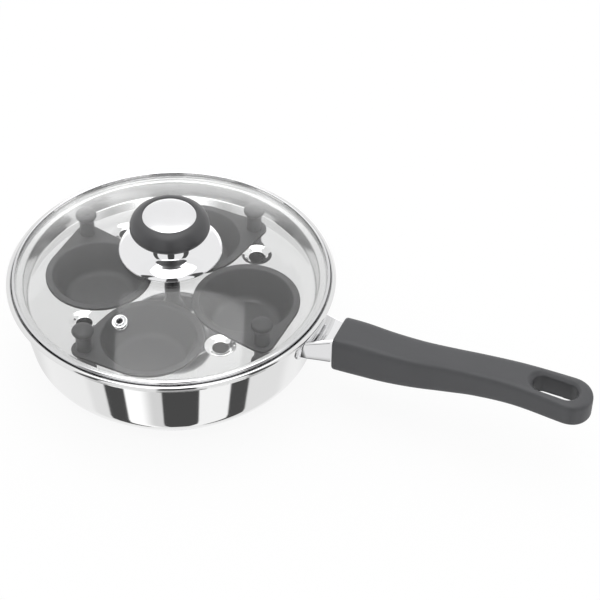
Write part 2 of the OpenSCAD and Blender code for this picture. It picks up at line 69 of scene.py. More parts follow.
# Radius and height along the bell's outside, from its foot to its neck
BELL_LINE = [(32.9, 82.0), (32.75, 82.75), (32.3, 83.55), (31.6, 84.25), (30.7, 84.85), (29.5, 85.4),
             (28.0, 85.98), (26.5, 86.57), (25.0, 87.2), (23.4, 87.98), (22.0, 88.75), (20.8, 89.55),
             (19.9, 90.35), (19.2, 91.2), (18.6, 92.15), (18.1, 93.05)]
KNOB_R, KNOB_BELLY_Z, KNOB_TOP, DISC_R = 25.3, 100.0, 109.0, 17.0

# Handle: sleeve over the bracket's tang, grip, bolt, and the hanging slot with its dished mouths
BRACKET_Z, GUARD_W, GUARD_H, GUARD_EDGE, GUARD_WALL = 43.2, 20.0, 19.6, 2.0, 0.8
TANG_SLOT_W, TANG_SLOT_H = 16.2, 10.2
GRIP_FRONT, GRIP_END, GRIP_END_R = 116.0, 280.4, 14.0
GRIP_END_X = GRIP_END - GRIP_END_R
BOLT_X, BOLT_HOLE_R, WELL_R, WELL_TOP = 136.0, 2.8, 5.2, 35.4
# Distance from the axis, width, height of the top, height of the bottom
GUARD_STATIONS = [(92, 37.6, 49.4, 36.5), (98, 33.2, 50.3, 36.0), (104, 28.8, 51.2, 35.3),
                  (110, 24.4, 52.1, 34.4), (116, 20, 53.0, 33.4)]
GRIP_STATIONS = [(116, 27.0, 56.4, 30.0), (130, 26.2, 57.0, 30.3), (150, 24.8, 56.3, 31.0),
                 (170, 23.6, 56.8, 33.6), (190, 22.2, 59.1, 37.6), (210, 22.6, 61.1, 42.1),
                 (235, 24.0, 62.4, 44.8), (266.4, 28.0, 60.6, 44.0), (280.4, 28.0, 59.3, 43.2)]
SLOT_R, SLOT_START, SLOT_END, DISH_R, DISH_DEPTH = 6.8, 249.3, 264.2, 9.4, 2.2

# Studio: the photograph's view is turned this far from the part's frame. The cards that the steel mirrors are
# given by where their edges stand, to the right of straight ahead, the light from there on, and half the
# width of the soft edge.
VIEW_TURN = 22
TABLE_LIGHT, LOW_START, FRONT_START, BACK_GLOW, ABOVE_LIGHT, BOX_LIGHT = 1.15, 1.2, 1.12, 1.3, 1.1, 1.8
LOW_CARDS = [(-85, 1.06, 4), (-67.5, 0.095, 1.2), (-48, 1.5, 1.2), (-27, 0.93, 8), (-10.2, 0.095, 1.2),
             (28.5, 1.3, 1.2), (60.5, 0.1, 1.2), (79.2, 1.06, 1.2), (120, 1.2, 8)]
FRONT_CARDS = [(-58, 0.1, 1.5), (-42, 1.1, 1.5), (-6.5, 0.08, 1.5), (17.5, 1.1, 1.5), (50, 0.1, 1.5),
               (70, 1.12, 1.5)]


def wall_at(z, gap=0.0):
    """Radius of the pan's outside at a height, or of the surface that stands gap outside it."""
    lean = radians(WALL_LEAN)
    return CORNER_X + (CORNER_R + gap) / cos(lean) + (z - CORNER_Z) * tan(lean)


def dome_at(r):
    """Height of the glass's upper face."""
    return DOME_Z + sqrt(DOME_R * DOME_R - r * r)


def arc(x, z, r, start, end, steps):
    """Points round (x, z), from one angle in degrees to another."""
    turn = [radians(start + (end - start) * i / steps) for i in range(steps + 1)]
    return [(x + r * cos(t), z + r * sin(t)) for t in turn]


def blend_line(a, b, steps):
    """Points from a to b, without a itself."""
    return [(a[0] + (b[0] - a[0]) * i / steps, a[1] + (b[1] - a[1]) * i / steps) for i in range(1, steps + 1)]


def circle(r, count, x=0.0, y=0.0):
    return [(x + r * cos(2 * pi * i / count), y + r * sin(2 * pi * i / count)) for i in range(count)]


def four_places(reach, start):
    """The four places round the axis where the cups or the vents are."""
    turns = [radians(start + 90 * k) for k in range(4)]
    return [(reach * cos(t), reach * sin(t)) for t in turns]


# ---------------------------------------------------------------- meshes and Geometry Nodes

def link(name, mesh):
    piece = bpy.data.objects.new(name, mesh)
    bpy.context.scene.collection.objects.link(piece)
    return piece


def mesh_of(name, points, faces=(), edges=()):
    mesh = bpy.data.meshes.new(name)
    mesh.from_pydata([(x * MM, y * MM, z * MM) for x, y, z in points], edges, faces)
    return mesh


def new_tree(name, inputs):
    """A geometry tree with named inputs, and its sockets' identifiers."""
    tree = bpy.data.node_groups.new(name, "GeometryNodeTree")
    sockets = {}
    for label, kind in inputs:
        sockets[label] = tree.interface.new_socket(label, in_out="INPUT", socket_type=kind).identifier
    tree.interface.new_socket("Piece", in_out="OUTPUT", socket_type="NodeSocketGeometry")
    return tree, sockets


def feed(tree, value, socket):
    """Links another node's output to the socket, or sets a plain value on it."""
    if isinstance(value, bpy.types.NodeSocket):
        tree.links.new(value, socket)
    else:
        socket.default_value = value


def add_node(tree, kind, **values):
    """A new node with these inputs linked or set. _ stands for a space in an input's name."""
    node = tree.nodes.new(kind)
    for label, value in values.items():
        feed(tree, value, node.inputs[label.replace("_", " ")])
    return node


def maths(tree, operation, *values):
    node = tree.nodes.new("ShaderNodeMath")
    node.operation = operation
    for socket, value in zip(node.inputs, values):
        feed(tree, value, socket)
    return node.outputs[0]


def parts_of(tree, vector):
    """The x, y and z of a vector."""
    return add_node(tree, "ShaderNodeSeparateXYZ", Vector=vector).outputs


def ranged(tree, value, low, high, start=0.0, end=1.0, kind="LINEAR"):
    """From low to high, while the value goes from start to end."""
    node = add_node(tree, "ShaderNodeMapRange", Value=value, From_Min=start, From_Max=end, To_Min=low,
                    To_Max=high)
    node.interpolation_type = kind
    return node.outputs[0]


def finish_tree(tree, geometry, finish):
    """Ends a tree in Realize Instances and Set Material, with the edges sharper than CREASE kept sharp."""
    real = add_node(tree, "GeometryNodeRealizeInstances", Geometry=geometry)
    round_faces = add_node(tree, "GeometryNodeSetShadeSmooth", Geometry=real.outputs[0])
    angle = tree.nodes.new("GeometryNodeInputMeshEdgeAngle").outputs[0]
    crease = maths(tree, "GREATER_THAN", angle, radians(CREASE))
    sharp = add_node(tree, "GeometryNodeSetShadeSmooth", Geometry=round_faces.outputs[0], Selection=crease,
                     Shade_Smooth=False)
    sharp.domain = "EDGE"
    paint = add_node(tree, "GeometryNodeSetMaterial", Geometry=sharp.outputs[0], Material=finish)
    add_node(tree, "NodeGroupOutput", Piece=paint.outputs[0])


def turned_tree():
    """Turns the profile's points, in their order, round the Z axis."""
    tree, sockets = new_tree("turned piece", [("Profile", "NodeSocketGeometry"), ("Segments", "NodeSocketInt"),
                                              ("Finish", "NodeSocketMaterial")])
    given = tree.nodes.new("NodeGroupInput").outputs
    size = add_node(tree, "GeometryNodeAttributeDomainSize", Geometry=given["Profile"])
    columns = maths(tree, "ADD", given["Segments"], 1.0)
    grid = add_node(tree, "GeometryNodeMeshGrid", Vertices_X=size.outputs["Point Count"], Vertices_Y=columns)
    index = tree.nodes.new("GeometryNodeInputIndex").outputs[0]
    row = maths(tree, "FLOOR", maths(tree, "DIVIDE", maths(tree, "ADD", index, 0.5), columns))
    step = maths(tree, "SUBTRACT", index, maths(tree, "MULTIPLY", row, columns))
    turn = maths(tree, "MULTIPLY", maths(tree, "DIVIDE", step, given["Segments"]), 2 * pi)
    sample = tree.nodes.new("GeometryNodeSampleIndex")
    sample.data_type = "FLOAT_VECTOR"
    feed(tree, given["Profile"], sample.inputs["Geometry"])
    feed(tree, tree.nodes.new("GeometryNodeInputPosition").outputs[0], sample.inputs["Value"])
    feed(tree, row, sample.inputs["Index"])
    radius, _, height = parts_of(tree, sample.outputs[0])
    spun = add_node(tree, "ShaderNodeCombineXYZ",
                    X=maths(tree, "MULTIPLY", radius, maths(tree, "COSINE", turn)),
                    Y=maths(tree, "MULTIPLY", radius, maths(tree, "SINE", turn)), Z=height)
    move = add_node(tree, "GeometryNodeSetPosition", Geometry=grid.outputs["Mesh"], Position=spun.outputs[0])
    weld = add_node(tree, "GeometryNodeMergeByDistance", Geometry=move.outputs[0], Distance=1e-6)
    flip = add_node(tree, "GeometryNodeFlipFaces", Mesh=weld.outputs[0])
    finish_tree(tree, flip.outputs[0], given["Finish"])
    return tree, sockets


def ring_tree():
    """Sets copies of a piece in a ring round the Z axis, and keeps the one that Which picks."""
    tree, sockets = new_tree("ring of pieces", [("Piece", "NodeSocketGeometry"), ("Count", "NodeSocketInt"),
                                                ("Start", "NodeSocketFloat"), ("Which", "NodeSocketInt"),
                                                ("Finish", "NodeSocketMaterial")])
    given = tree.nodes.new("NodeGroupInput").outputs
    points = add_node(tree, "GeometryNodePoints", Count=given["Count"])
    index = tree.nodes.new("GeometryNodeInputIndex").outputs[0]
    share = maths(tree, "DIVIDE", index, given["Count"])
    turn = maths(tree, "ADD", given["Start"], maths(tree, "MULTIPLY", share, 2 * pi))
    keep = maths(tree, "COMPARE", index, given["Which"], 0.5)
    place = add_node(tree, "GeometryNodeInstanceOnPoints", Points=points.outputs[0], Selection=keep,
                     Instance=given["Piece"],
                     Rotation=add_node(tree, "ShaderNodeCombineXYZ", Z=turn).outputs[0])
    finish_tree(tree, place.outputs[0], given["Finish"])
    return tree, sockets


def baked(name, source):
    """The evaluated source as a plain mesh on a new object. The source goes."""
    shape = source.evaluated_get(bpy.context.evaluated_depsgraph_get())
    mesh = bpy.data.meshes.new_from_object(shape)
    bpy.data.objects.remove(source)
    mesh.name = name
    return link(name, mesh)


def with_tree(name, source, tree_and_sockets, **values):
    """The source through a geometry tree, with these values on its named inputs."""
    tree, sockets = tree_and_sockets
    step = source.modifiers.new(tree.name, "NODES")
    step.node_group = tree
    for label, value in values.items():
        step[sockets[label]] = value
    return baked(name, source)


def turned(name, points, finish, segments):
    """The profile's points, each a radius and a height, turned round the Z axis."""
    profile = mesh_of("profile", [(r, 0.0, z) for r, z in points],
                      edges=[(i, i + 1) for i in range(len(points) - 1)])
    return with_tree(name, link("profile", profile), TURNED, Segments=segments, Finish=finish)


def in_ring(name, source, which, start, finish):
    """One of four copies round the Z axis."""
    return with_tree(name, source, RING, Count=4, Start=radians(start), Which=which, Finish=finish)


def modified(name, source, *steps):
    """The source with these modifiers applied, each a kind and its settings."""
    for kind, settings in steps:
        step = source.modifiers.new(kind.lower(), kind)
        for key, value in settings.items():
            setattr(step, key, value)
    return baked(name, source)


def thickened(name, sheet, wall):
    """The sheet's upper face with a wall under it."""
    return modified(name, sheet, ("SOLIDIFY", {"thickness": wall * MM, "offset": -1.0, "use_even_offset": True}))


def painted(piece, finish, angle=CREASE):
    """Gives a piece one finish, smooth shaded but for its sharp edges."""
    piece.data.materials.clear()
    piece.data.materials.append(finish)
    piece.data.shade_smooth()
    piece.data.set_sharp_from_angle(angle=radians(angle))


def moved(piece, matrix):
    piece.data.transform(matrix)
    piece.data.update()


def dressed(piece, body, slot, *nodes):
    """Sets a piece on its body, in the place of the nodes that it stands for. The slot is not used."""
    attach(piece, body)
    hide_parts(*nodes)


def turned_part(name, points, segments, body, slot, node):
    """A turned piece in its slot's finish, set on its body."""
    dressed(turned(name, points, FINISH[slot], segments), body, slot, node)


def add_ring(points, faces, last, ring_points, inward=False):
    """Adds a ring of points to a sheet, with quads from the ring before it, and gives its point numbers."""
    first, count = len(points), len(ring_points)
    points += ring_points
    ring = list(range(first, first + count))
    for i in range(count):
        n = (i + 1) % count
        faces.append((last[i], last[n], ring[n], ring[i]) if inward else (last[i], ring[i], ring[n], last[n]))
    return ring


def ring_quads(rings, closed=False):
    """Quads between rings of equal size, and from the last back to the first where the form is closed."""
    count, total = len(rings[0]), len(rings)
    gaps = [(i * count, (i + 1) % total * count) for i in range(total if closed else total - 1)]
    return [(a + j, a + (j + 1) % count, b + (j + 1) % count, b + j) for a, b in gaps for j in range(count)]


def region(loops, inside, extra=()):
    """Triangles of a flat region: points, faces facing +Z, and the point numbers of each loop."""
    points, edges, rings = [], [], []
    for loop in loops:
        first = len(points)
        points += [Vector(p) for p in loop]
        rings.append(list(range(first, len(points))))
        edges += [(first + i, first + (i + 1) % len(loop)) for i in range(len(loop))]
    points += [Vector(p) for p in extra]
    out, _, faces, origins, _, _ = delaunay_2d_cdt(points, edges, [], 0, 1e-5)
    where = {}
    for i, sources in enumerate(origins):
        for source in sources:
            where[source] = i
    kept = []
    for face in faces:
        a, b, c = (out[i] for i in face)
        middle = (a + b + c) / 3
        area = (b - a).cross(c - a)
        if abs(area) > 1e-4 and inside(middle.x, middle.y):
            kept.append(tuple(face) if area > 0 else tuple(reversed(face)))
    return [tuple(p) for p in out], kept, [[where[i] for i in ring] for ring in rings]


# ---------------------------------------------------------------- shader groups

def shader_group(name, inputs, *outputs):
    """An empty group with its named sockets, and the Object coordinates that its patterns read."""
    group = bpy.data.node_groups.new(name, "ShaderNodeTree")
    for label, value in inputs.items():
        socket = group.interface.new_socket(label, in_out="INPUT", socket_type="NodeSocketFloat")
        socket.default_value = value
    for label in outputs:
        group.interface.new_socket(label, in_out="OUTPUT", socket_type="NodeSocketFloat")
    given, out = group.nodes.new("NodeGroupInput"), group.nodes.new("NodeGroupOutput")
    place = group.nodes.new("ShaderNodeTexCoord").outputs["Object"]
    return group, given.outputs, out.inputs, place


def noise(group, vector, scale, detail=2.0, roughness=0.5, distortion=0.0):
    return add_node(group, "ShaderNodeTexNoise", Vector=vector, Scale=scale, Detail=detail, Roughness=roughness,
                    Distortion=distortion).outputs["Fac"]


def spun_lines_group():
    """Fine concentric lines round the Z axis, as a lathe or a polishing wheel leaves them."""
    group, given, out, place = shader_group(
        "spun lines", {"Lines per metre": 3000.0, "Wander": 0.02}, "Height", "Mask")
    x, y, z = parts_of(group, place)
    squares = maths(group, "ADD", maths(group, "MULTIPLY", x, x), maths(group, "MULTIPLY", y, y))
    lines = given["Lines per metre"]
    turn = maths(group, "ABSOLUTE", maths(group, "ARCTAN2", y, x))
    spun = add_node(group, "ShaderNodeCombineXYZ",
                    X=maths(group, "MULTIPLY", maths(group, "SQRT", squares), lines),
                    Y=maths(group, "MULTIPLY", z, lines), Z=maths(group, "MULTIPLY", turn, 3.0))
    fine = noise(group, spun.outputs[0], 1.0, 3.0, 0.6)
    broad = noise(group, place, 28.0, 3.0, 0.5)
    feed(group, maths(group, "ADD", fine, maths(group, "MULTIPLY", broad, given["Wander"])), out["Height"])
    feed(group, maths(group, "ADD", maths(group, "MULTIPLY", fine, 0.6), maths(group, "MULTIPLY", broad, 0.4)),
         out["Mask"])
    return group


def handling_group():
    """Broad soft marks of wiping and handling."""
    group, given, out, place = shader_group("handling marks", {"Size": 40.0}, "Marks")
    broad = noise(group, place, given["Size"], 4.0, 0.6, 0.8)
    feed(group, ranged(group, broad, 0.0, 1.0, 0.35, 0.75), out["Marks"])
    return group


def moulded_grain_group():
    """The fine matt texture of a moulded grip."""
    group, given, out, place = shader_group("moulded grain", {"Grain": 1400.0}, "Height", "Shade")
    fine = noise(group, place, given["Grain"], 2.0, 0.55)
    pores = add_node(group, "ShaderNodeTexVoronoi", Vector=place,
                     Scale=maths(group, "MULTIPLY", given["Grain"], 0.8)).outputs["Distance"]
    feed(group, maths(group, "ADD", fine, maths(group, "MULTIPLY", pores, 0.5)), out["Height"])
    feed(group, noise(group, place, 30.0, 3.0, 0.5), out["Shade"])
    return group


def edge_wear_group():
    """Gritty marks along edges that stand out, where a hand rubs them."""
    group, given, out, place = shader_group("edge wear", {"Grit": 900.0}, "Mask")
    pointed = group.nodes.new("ShaderNodeNewGeometry").outputs["Pointiness"]
    edges = ranged(group, pointed, 0.0, 1.0, 0.52, 0.62)
    feed(group, maths(group, "MULTIPLY", edges, noise(group, place, given["Grit"], 3.0, 0.6)), out["Mask"])
    return group


# ---------------------------------------------------------------- materials

def empty_material(name):
    material = bpy.data.materials.new(name)
    material.use_nodes = True
    material.node_tree.nodes.clear()
    return material, material.node_tree


def surface_out(tree, shader, kind="ShaderNodeOutputMaterial"):
    tree.links.new(shader.outputs[0], tree.nodes.new(kind).inputs["Surface"])


def new_material(name):
    material, tree = empty_material(name)
    shader = tree.nodes.new("ShaderNodeBsdfPrincipled")
    surface_out(tree, shader)
    return material, tree, shader


def use_group(tree, group, **values):
    """Places a shader group in a material, with its own values. _ stands for a space in an input's name."""
    node = tree.nodes.new("ShaderNodeGroup")
    node.node_tree = group
    for label, value in values.items():
        node.inputs[label.replace("_", " ")].default_value = value
    return node


def tinted(tree, mask, low, high):
    """A colour between low and high, by the mask."""
    node = tree.nodes.new("ShaderNodeMix")
    node.data_type = "RGBA"
    tree.links.new(mask, node.inputs["Factor"])
    node.inputs["A"].default_value, node.inputs["B"].default_value = (*low, 1), (*high, 1)
    return node.outputs["Result"]


def bumped(tree, shader, height, strength, distance):
    node = add_node(tree, "ShaderNodeBump", Strength=strength, Distance=distance, Height=height)
    tree.links.new(node.outputs[0], shader.inputs["Normal"])


def steel(name, low, high, smooth, rough, wander=0.02, strength=0.08):
    """Polished or satin metal between two colours: spun lines, and marks that change its gloss."""
    material, tree, shader = new_material(name)
    spun = use_group(tree, SPUN_LINES, Lines_per_metre=3000.0, Wander=wander)
    marks = use_group(tree, HANDLING, Size=35.0)
    shader.inputs["Metallic"].default_value = 1.0
    tree.links.new(tinted(tree, spun.outputs["Mask"], low, high), shader.inputs["Base Color"])
    tree.links.new(ranged(tree, marks.outputs["Marks"], smooth, rough), shader.inputs["Roughness"])
    bumped(tree, shader, spun.outputs["Height"], strength, 0.02 * MM)
    return material


def phenolic(name, low, high, smooth, rough, grain=1400.0, strength=0.25, depth=0.06 * MM):
    """A moulded or coated surface between two colours, with a fine matt grain."""
    material, tree, shader = new_material(name)
    grit = use_group(tree, GRAIN, Grain=grain)
    marks = use_group(tree, HANDLING, Size=25.0)
    wear = use_group(tree, EDGE_WEAR)
    tree.links.new(tinted(tree, grit.outputs["Shade"], low, high), shader.inputs["Base Color"])
    worn = maths(tree, "MULTIPLY", wear.outputs["Mask"], -0.08)
    tree.links.new(maths(tree, "ADD", ranged(tree, marks.outputs["Marks"], smooth, rough), worn),
                   shader.inputs["Roughness"])
    bumped(tree, shader, grit.outputs["Height"], strength, depth)
    return material


def clear_glass(name):
    """Clear glass with faint marks of wiping."""
    material, tree, shader = new_material(name)
    marks = use_group(tree, HANDLING, Size=18.0)
    tree.links.new(tinted(tree, marks.outputs["Marks"], (0.985, 0.987, 0.986), (0.978, 0.981, 0.98)),
                   shader.inputs["Base Color"])
    tree.links.new(ranged(tree, marks.outputs["Marks"], 0.0, 0.012), shader.inputs["Roughness"])
    shader.inputs["Transmission Weight"].default_value = 1.0
    shader.inputs["IOR"].default_value = 1.5
    return material


def rack_finish():
    """Polished plate, with a turned-up wall that is more satin."""
    material = steel("polished rack steel", (0.86, 0.86, 0.86), (0.90, 0.90, 0.90), 0.04, 0.07, strength=0.02)
    tree = material.node_tree
    gloss = tree.nodes["Principled BSDF"].inputs["Roughness"]
    _, _, height = parts_of(tree, tree.nodes.new("ShaderNodeTexCoord").outputs["Object"])
    satin = ranged(tree, height, 0.0, 0.15, (PLATE_TOP + 0.1) * MM, (PLATE_TOP + 1.5) * MM)
    tree.links.new(maths(tree, "ADD", gloss.links[0].from_socket, satin), gloss)
    return material


def make_materials():
    """Every slot's finish: two colours that it varies between, and its smoothest and roughest gloss."""
    return {
        "pan_steel": steel("polished pan steel", (0.83, 0.83, 0.83), (0.87, 0.87, 0.87), 0.035, 0.06,
                           wander=0.05, strength=0.03),
        "base_steel": steel("satin base steel", (0.76, 0.76, 0.77), (0.82, 0.82, 0.83), 0.14, 0.22),
        "core_aluminium": steel("plain aluminium", (0.72, 0.73, 0.74), (0.78, 0.79, 0.80), 0.3, 0.4),
        "bracket_steel": steel("bracket steel", (0.74, 0.74, 0.75), (0.80, 0.80, 0.81), 0.1, 0.18),
        "guard_steel": steel("polished guard steel", (0.91, 0.91, 0.92), (0.94, 0.94, 0.95), 0.03, 0.06,
                             strength=0.03),
        "rack_steel": rack_finish(),
        "band_steel": steel("polished band steel", (0.72, 0.72, 0.73), (0.78, 0.78, 0.79), 0.06, 0.1,
                            strength=0.03),
        "vent_steel": steel("eyelet steel", (0.80, 0.80, 0.81), (0.86, 0.86, 0.87), 0.05, 0.1),
        "bell_chrome": steel("mirror chrome", (0.90, 0.90, 0.91), (0.93, 0.93, 0.94), 0.015, 0.035,
                             strength=0.015),
        "insert_steel": steel("satin disc steel", (0.87, 0.87, 0.88), (0.91, 0.91, 0.92), 0.2, 0.26,
                              strength=0.1),
        "fastener_steel": steel("plain fastener steel", (0.66, 0.66, 0.67), (0.74, 0.74, 0.75), 0.2, 0.32),
        "bush_brass": steel("turned brass", (0.72, 0.55, 0.26), (0.80, 0.63, 0.33), 0.2, 0.3),
        "handle_phenolic": phenolic("handle phenolic", (0.066, 0.067, 0.071), (0.076, 0.077, 0.082), 0.42, 0.5),
        "knob_phenolic": phenolic("knob phenolic", (0.064, 0.064, 0.067), (0.074, 0.074, 0.078), 0.34, 0.42),
        "cup_knob_phenolic": phenolic("cup knob phenolic", (0.095, 0.095, 0.098), (0.105, 0.105, 0.109),
                                      0.38, 0.46),
        "cup_non_stick": phenolic("non-stick coating", (0.122, 0.122, 0.125), (0.133, 0.133, 0.137), 0.4, 0.46,
                                  grain=2200.0, strength=0.01, depth=0.01 * MM),
        "gasket_silicone": phenolic("milky silicone", (0.70, 0.70, 0.69), (0.76, 0.76, 0.75), 0.45, 0.55),
        "lid_glass": clear_glass("clear tempered glass"),
    }


# ---------------------------------------------------------------- pan

def pan_profile():
    """The shell's outside from the middle of its base to the rim, and its inside back to the middle."""
    corner_top = CORNER_Z - CORNER_R * sin(radians(WALL_LEAN))
    corner_inside = CORNER_Z - 2.9
    flat_end = CORNER_X - 1.5
    foot_z = LEDGE_UNDER - LEDGE_BEND
    foot = wall_at(foot_z)
    outside = (
        [(0.0, BASE_HEIGHT)] + blend_line((0.0, BASE_HEIGHT), (flat_end, BASE_HEIGHT), 8)
        + arc(CORNER_X, CORNER_Z, CORNER_R, -90, -WALL_LEAN, 30)
        + blend_line((wall_at(corner_top), corner_top), (foot, foot_z), 14)[:-1]
        + arc(foot + LEDGE_BEND, foot_z, LEDGE_BEND, 180, 90, 8)
        + arc(BEAD_X - 0.5, LEDGE_UNDER + 0.5, 0.5, -90, 0, 5)
        + [(BEAD_X, BEAD_Z - BEAD_R - 0.12)]
        + arc(BEAD_X, BEAD_Z, BEAD_R, -84, 180, 40))
    inside = (
        arc(SEAT_R - 0.4, LEDGE_TOP + 0.4, 0.4, 0, -90, 5)
        + arc(wall_at(LEDGE_TOP, -PAN_WALL) + 0.5, LEDGE_TOP - 0.4, 0.4, 90, 180, 5)
        + blend_line((wall_at(LEDGE_TOP - 0.5, -PAN_WALL), LEDGE_TOP - 0.5),
                     (wall_at(corner_inside, -PAN_WALL), corner_inside), 14)
        + arc(CORNER_X, CORNER_Z, CORNER_R - PAN_WALL, -WALL_LEAN, -90, 30)
        + [(flat_end, BASE_HEIGHT + PAN_WALL), (0.0, BASE_HEIGHT + PAN_WALL)])
    return outside + inside


def cap_profile():
    """The cap's outside from the middle of its underside to its seam, and its inside back to the middle."""
    edge_x, flat_r, lip_r = BASE_R - CAP_EDGE, BASE_R - 2.6, 0.25
    return (
        [(0.0, 0.0), (40.0, 0.0), (flat_r, 0.0)]
        + arc(edge_x, CAP_EDGE, CAP_EDGE, -90, 0, 10)
        + [(BASE_R, CAP_TOP)] + arc(BASE_R - lip_r, CAP_TOP + lip_r, lip_r, 0, 180, 6)
        + [(BASE_R - CAP_WALL, CAP_TOP)]
        + arc(edge_x, CAP_EDGE, CAP_EDGE - CAP_WALL, 0, -90, 8)
        + [(flat_r, CAP_WALL), (0.0, CAP_WALL)])


def make_pan():
    turned_part("pan_shell", pan_profile(), 360, "pan", "pan_steel", "pan_body")
    turned_part("base_disc_cap", cap_profile(), 288, "pan", "base_steel", "base_cap")


# ---------------------------------------------------------------- handle

def slope_at(rows, i, k):
    """Slope of column k at row i."""
    a, b = max(i - 1, 0), min(i + 1, len(rows) - 1)
    return (rows[b][k] - rows[a][k]) / (rows[b][0] - rows[a][0])


def eased(rows, s, k):
    """Column k at s, on a smooth curve through the rows. Column 0 is the place along the curve."""
    i = max([0] + [n for n in range(len(rows) - 1) if s >= rows[n][0]])
    step = rows[i + 1][0] - rows[i][0]
    t = (s - rows[i][0]) / step
    return (rows[i][k] * (2 * t ** 3 - 3 * t ** 2 + 1) + slope_at(rows, i, k) * step * (t ** 3 - 2 * t ** 2 + t)
            + rows[i + 1][k] * (3 * t ** 2 - 2 * t ** 3) + slope_at(rows, i + 1, k) * step * (t ** 3 - t ** 2))


def grip_ring(s, narrow=1.0, pinch=1.0, count=96, power=0.3):
    """The grip's outline at s along X, a box with round edges. A higher power makes them rounder."""
    width = eased(GRIP_STATIONS, s, 1) * narrow
    top, low = eased(GRIP_STATIONS, s, 2), eased(GRIP_STATIONS, s, 3)
    middle, height = (top + low) / 2, (top - low) * pinch
    ring = []
    for i in range(count):
        c, d = cos(2 * pi * i / count), sin(2 * pi * i / count)
        ring.append((s, width / 2 * copysign(abs(c) ** power, c),
                     middle + height / 2 * copysign(abs(d) ** power, d)))
    return ring


def lofted(name, rings):
    """A closed solid through rings of equal size, from the first to the last."""
    count, last = len(rings[0]), len(rings) - 1
    ends = [tuple(reversed(range(count))), tuple(last * count + j for j in range(count))]
    return link(name, mesh_of(name, [p for ring in rings for p in ring], ring_quads(rings) + ends))


def stadium(r, z):
    """The hanging slot's outline with ends of radius r, lying flat at height z."""
    return [(x, y, z) for x, y in arc(SLOT_END, 0.0, r, -90, 90, 23) + arc(SLOT_START, 0.0, r, 90, 270, 23)]


def rounded_section(width, top, low, r, x, steps=6):
    """A rectangle with round corners, standing across X."""
    ring = []
    for cy, cz, start in ((1, 1, 0), (-1, 1, 90), (-1, -1, 180), (1, -1, 270)):
        for i in range(steps + 1):
            t = radians(start + 90 * i / steps)
            ring.append((x, cy * (width / 2 - r) + r * cos(t),
                         (top + low) / 2 + cz * ((top - low) / 2 - r) + r * sin(t)))
    return ring


def bar(width, height, end):
    """A cutter along X from in front of the grip, round the bracket's middle height."""
    return lofted("cutter", [rounded_section(width, BRACKET_Z + height / 2, BRACKET_Z - height / 2, GUARD_EDGE, x)
                             for x in (GRIP_FRONT - 16, end)])


def bolt_cutter(r, top, count):
    """A cutter up the bolt's axis, from under the grip."""
    return lofted("cutter", [[(BOLT_X + x, y, z) for x, y in circle(r, count)] for z in (20, top)])


def cut(name, body, cutters):
    """The body less its cutters, which go."""
    for n, cutter in enumerate(cutters):
        step = body.modifiers.new("cut %d" % n, "BOOLEAN")
        step.operation, step.solver, step.object = "DIFFERENCE", "EXACT", cutter
    made = baked(name, body)
    for cutter in cutters:
        bpy.data.objects.remove(cutter)
    return made


def dish_cutter(column, side):
    """The slot's mouth on the top (side 1) or on the underside (side -1)."""
    rings = []
    for out in (-0.02, 0.25, 0.5, 0.75, 1.0, 2.0):
        ring = []
        for x, y, _ in stadium(SLOT_R + (DISH_R - SLOT_R) * out, 0.0):
            level = eased(GRIP_STATIONS, min(max(x, SLOT_START), SLOT_END), column)
            ring.append((x, y, level + side * DISH_DEPTH * (out - 1)))
        rings.append(ring)
    return lofted("cutter", rings if side > 0 else rings[::-1])


def make_grip():
    """Moulded grip: rounded at both ends, smoothed over, then cut for the sleeve, the tang and the bolt."""
    # Distance behind the front, and the shares of the full width and height there
    front = [grip_ring(GRIP_FRONT + back, narrow, pinch)
             for back, narrow, pinch in ((0.0, 0.92, 0.93), (0.3, 0.965, 0.97), (1.0, 0.99, 0.99))]
    middle = [grip_ring(s / 2) for s in range(int(2 * (GRIP_FRONT + 2)), int(2 * GRIP_END_X) + 1, 4)]
    tail = [grip_ring(GRIP_END_X + GRIP_END_R * sin(radians(t)), cos(radians(t)),
                      1 - 0.22 * sin(radians(t)) ** 6)
            for t in (8, 16, 24, 32, 40, 48, 55, 62, 68, 74, 79, 83, 86.5, 89)]
    body = lofted("grip body", front + middle + tail)
    slot = lofted("cutter", [stadium(SLOT_R, z) for z in (30, 75)])
    body = cut("grip body", body, [slot, dish_cutter(2, 1), dish_cutter(3, -1)])
    body = modified("grip body", body, ("REMESH", {"mode": "VOXEL", "voxel_size": 0.5 * MM}),
                    ("SMOOTH", {"factor": 0.5, "iterations": 5}))
    grip = cut("handle_moulding", body, [bar(GUARD_W + 0.2, GUARD_H + 0.2, GRIP_FRONT + 7),
                                         bar(TANG_SLOT_W, TANG_SLOT_H, BOLT_X + 15),
                                         bolt_cutter(WELL_R, WELL_TOP, 48),
                                         bolt_cutter(BOLT_HOLE_R, BRACKET_Z, 32)])
    painted(grip, FINISH["handle_phenolic"], 50)
    dressed(grip, "pan", "handle_phenolic", "handle_grip")


